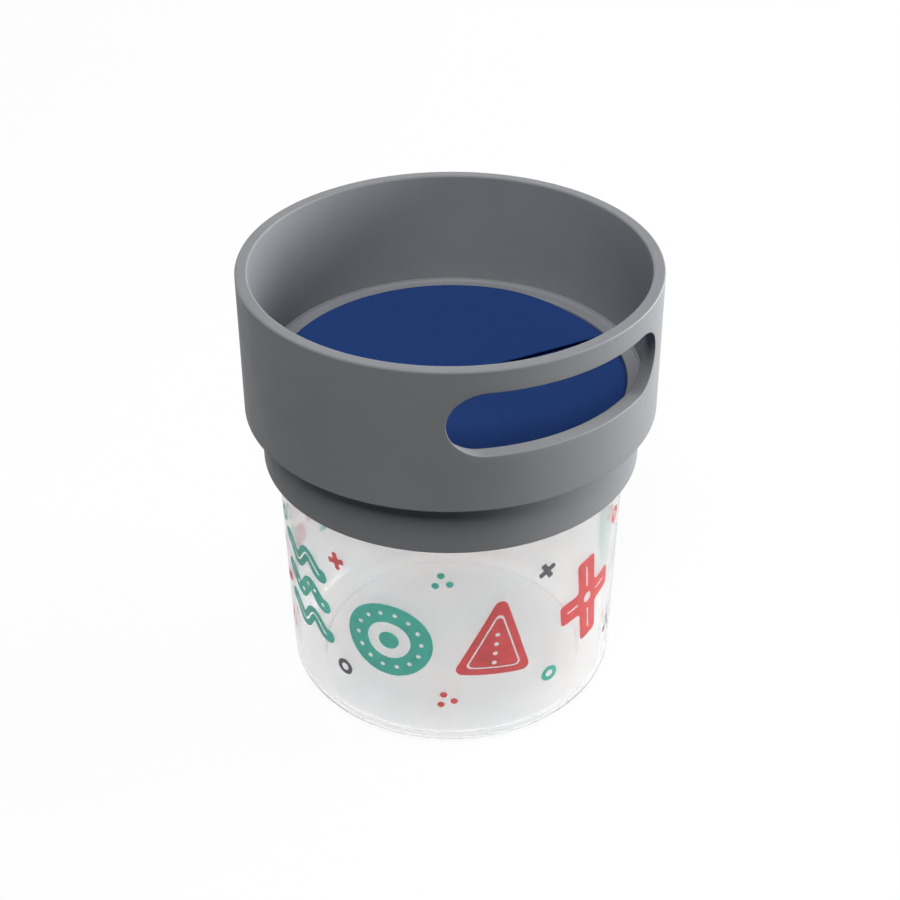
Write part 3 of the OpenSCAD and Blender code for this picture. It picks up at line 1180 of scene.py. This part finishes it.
def woven_fabric():
    """Close-woven matte polyester: crossing yarns, soft mottling and a little fuzz."""
    n = Material("blue_weave")
    flat = n.coordinates("UV")
    settings = {
        "Vector": flat,
        "Scale": YARN_SCALE,
        "Distortion": 0.35,
        "Detail": 1.0,
        "Detail Scale": 9.0,
    }
    warp = n.add("ShaderNodeTexWave", settings, bands_direction="X").outputs["Fac"]
    weft = n.add("ShaderNodeTexWave", settings, bands_direction="Y").outputs["Fac"]
    weave = n.combine("MULTIPLY", warp, weft)
    mottle = n.spread(n.noise(flat, 22, 5, 0.6), 0, 1, 0.35, 0.65)
    fuzz = n.noise(flat, 620, 3, 0.7)
    body = n.mix(mottle, shade(FABRIC_BLUE, 0.93), shade(FABRIC_BLUE, 1.07))
    yarn = n.mix(n.spread(weave, 0, 1, 0, 1), shade(FABRIC_BLUE, 0.86), shade(FABRIC_BLUE, 1.14))
    dust = n.spread(fuzz, 0, 1, 0.35, 0.65)
    dust = n.mix(dust, shade(FABRIC_BLUE, 0.9), shade(FABRIC_BLUE, 1.12))
    n.set(
        Base_Color=n.mix(0.4, n.mix(0.5, body, yarn), dust),
        Roughness=n.spread(fuzz, 0.86, 0.96),
        Normal=n.bump(n.combine("ADD", weave, fuzz), 0.05 * MM, 0.5),
        Sheen_Weight=0.03,
        Sheen_Roughness=0.5,
        Specular_IOR_Level=0.1,
    )
    return n.material


# ---------------------------------------------------------------- studio
AMBIENT = 0.03
AMBIENT_TINT = (0.94, 0.97, 1.0, 1)
WORLD_GLOSS = 0.9
FLOOR_BOUNCE = 0.05
FLOOR_WHITE = 0.86
FLOOR_GLOW = 0.92
FLOOR_GLOSS = 0.8
FLOOR_R = 3.0
FLOOR_DROP = 0.05 * MM
LAMP_DISTANCE = 1.2

# name, degrees to the right of the camera, elevation in degrees, size, power
LAMPS = (
    ("right_softbox", 95, 8, 0.55, 20),
    ("right_rear_softbox", 125, 8, 0.55, 17.5),
    ("high_softbox", -12, 60, 0.5, 12.3),
    ("left_rear_fill", -130, 6, 0.4, 3.2),
    ("rear_fill", 180, 6, 0.4, 3),
)


def add_floor():
    """A plain white floor that keeps a faint shadow, shows white in the cup and throws little light."""
    bm = bmesh.new()
    bmesh.ops.create_circle(bm, cap_ends=True, radius=FLOOR_R, segments=96)
    floor = link("floor", bm, smooth=False)
    floor.location.z = -FLOOR_DROP
    n = Material("floor_white")
    path = n.add("ShaderNodeLightPath").outputs
    seen = n.combine("MULTIPLY", path["Is Camera Ray"], FLOOR_GLOW)
    seen = n.combine("MAXIMUM", seen, path["Is Transmission Ray"])
    gloss = n.combine("MULTIPLY", path["Is Glossy Ray"], FLOOR_GLOSS)
    share = n.combine("MAXIMUM", seen, gloss)
    white = n.add("ShaderNodeEmission", {"Color": WHITE, "Strength": 1.0}).outputs[0]
    bounce = n.spread(path["Is Camera Ray"], FLOOR_BOUNCE, FLOOR_WHITE, 0, 1)
    n.set(Base_Color=bounce, Roughness=0.9, Specular_IOR_Level=0.0)
    blend = n.add("ShaderNodeMixShader", {0: share, 1: n.shader.outputs[0], 2: white})
    n.put(n.output.inputs["Surface"], blend.outputs[0])
    floor.data.materials.append(n.material)


def add_world():
    """Weak even light, and plain white where the background is seen."""
    world = bpy.data.worlds.new("studio")
    bpy.context.scene.world = world
    world.use_nodes = True
    n = Nodes(world.node_tree)
    n.tree.nodes.clear()
    path = n.add("ShaderNodeLightPath").outputs
    seen = n.combine("MAXIMUM", path["Is Camera Ray"], path["Is Transmission Ray"])
    gloss = n.combine("MULTIPLY", path["Is Glossy Ray"], WORLD_GLOSS)
    share = n.combine("MAXIMUM", seen, gloss)
    soft = n.add("ShaderNodeBackground", {"Color": AMBIENT_TINT, "Strength": AMBIENT})
    plain = n.add("ShaderNodeBackground", {"Color": WHITE, "Strength": 1.0})
    links = {0: share, 1: soft.outputs[0], 2: plain.outputs[0]}
    blend = n.add("ShaderNodeMixShader", links)
    n.add("ShaderNodeOutputWorld", {"Surface": blend.outputs[0]})


def add_softbox(name, azimuth, elevation, size, power):
    """A square lamp aimed at the container."""
    data = bpy.data.lights.new(name, "AREA")
    data.shape = "SQUARE"
    data.size = size
    data.energy = power
    lamp = bpy.data.objects.new(name, data)
    bpy.context.scene.collection.objects.link(lamp)
    turn = CAMERA_AZIMUTH + math.radians(azimuth)
    lamp.location = around(turn, math.radians(elevation), LAMP_DISTANCE)
    look_at_aim(lamp)


# ---------------------------------------------------------------- the scene
set_view()
add_camera()
add_world()
for lamp_values in LAMPS:
    add_softbox(*lamp_values)
add_floor()
make_cup()
make_print()
make_gasket()
make_collar()
make_ring()
make_fabric()
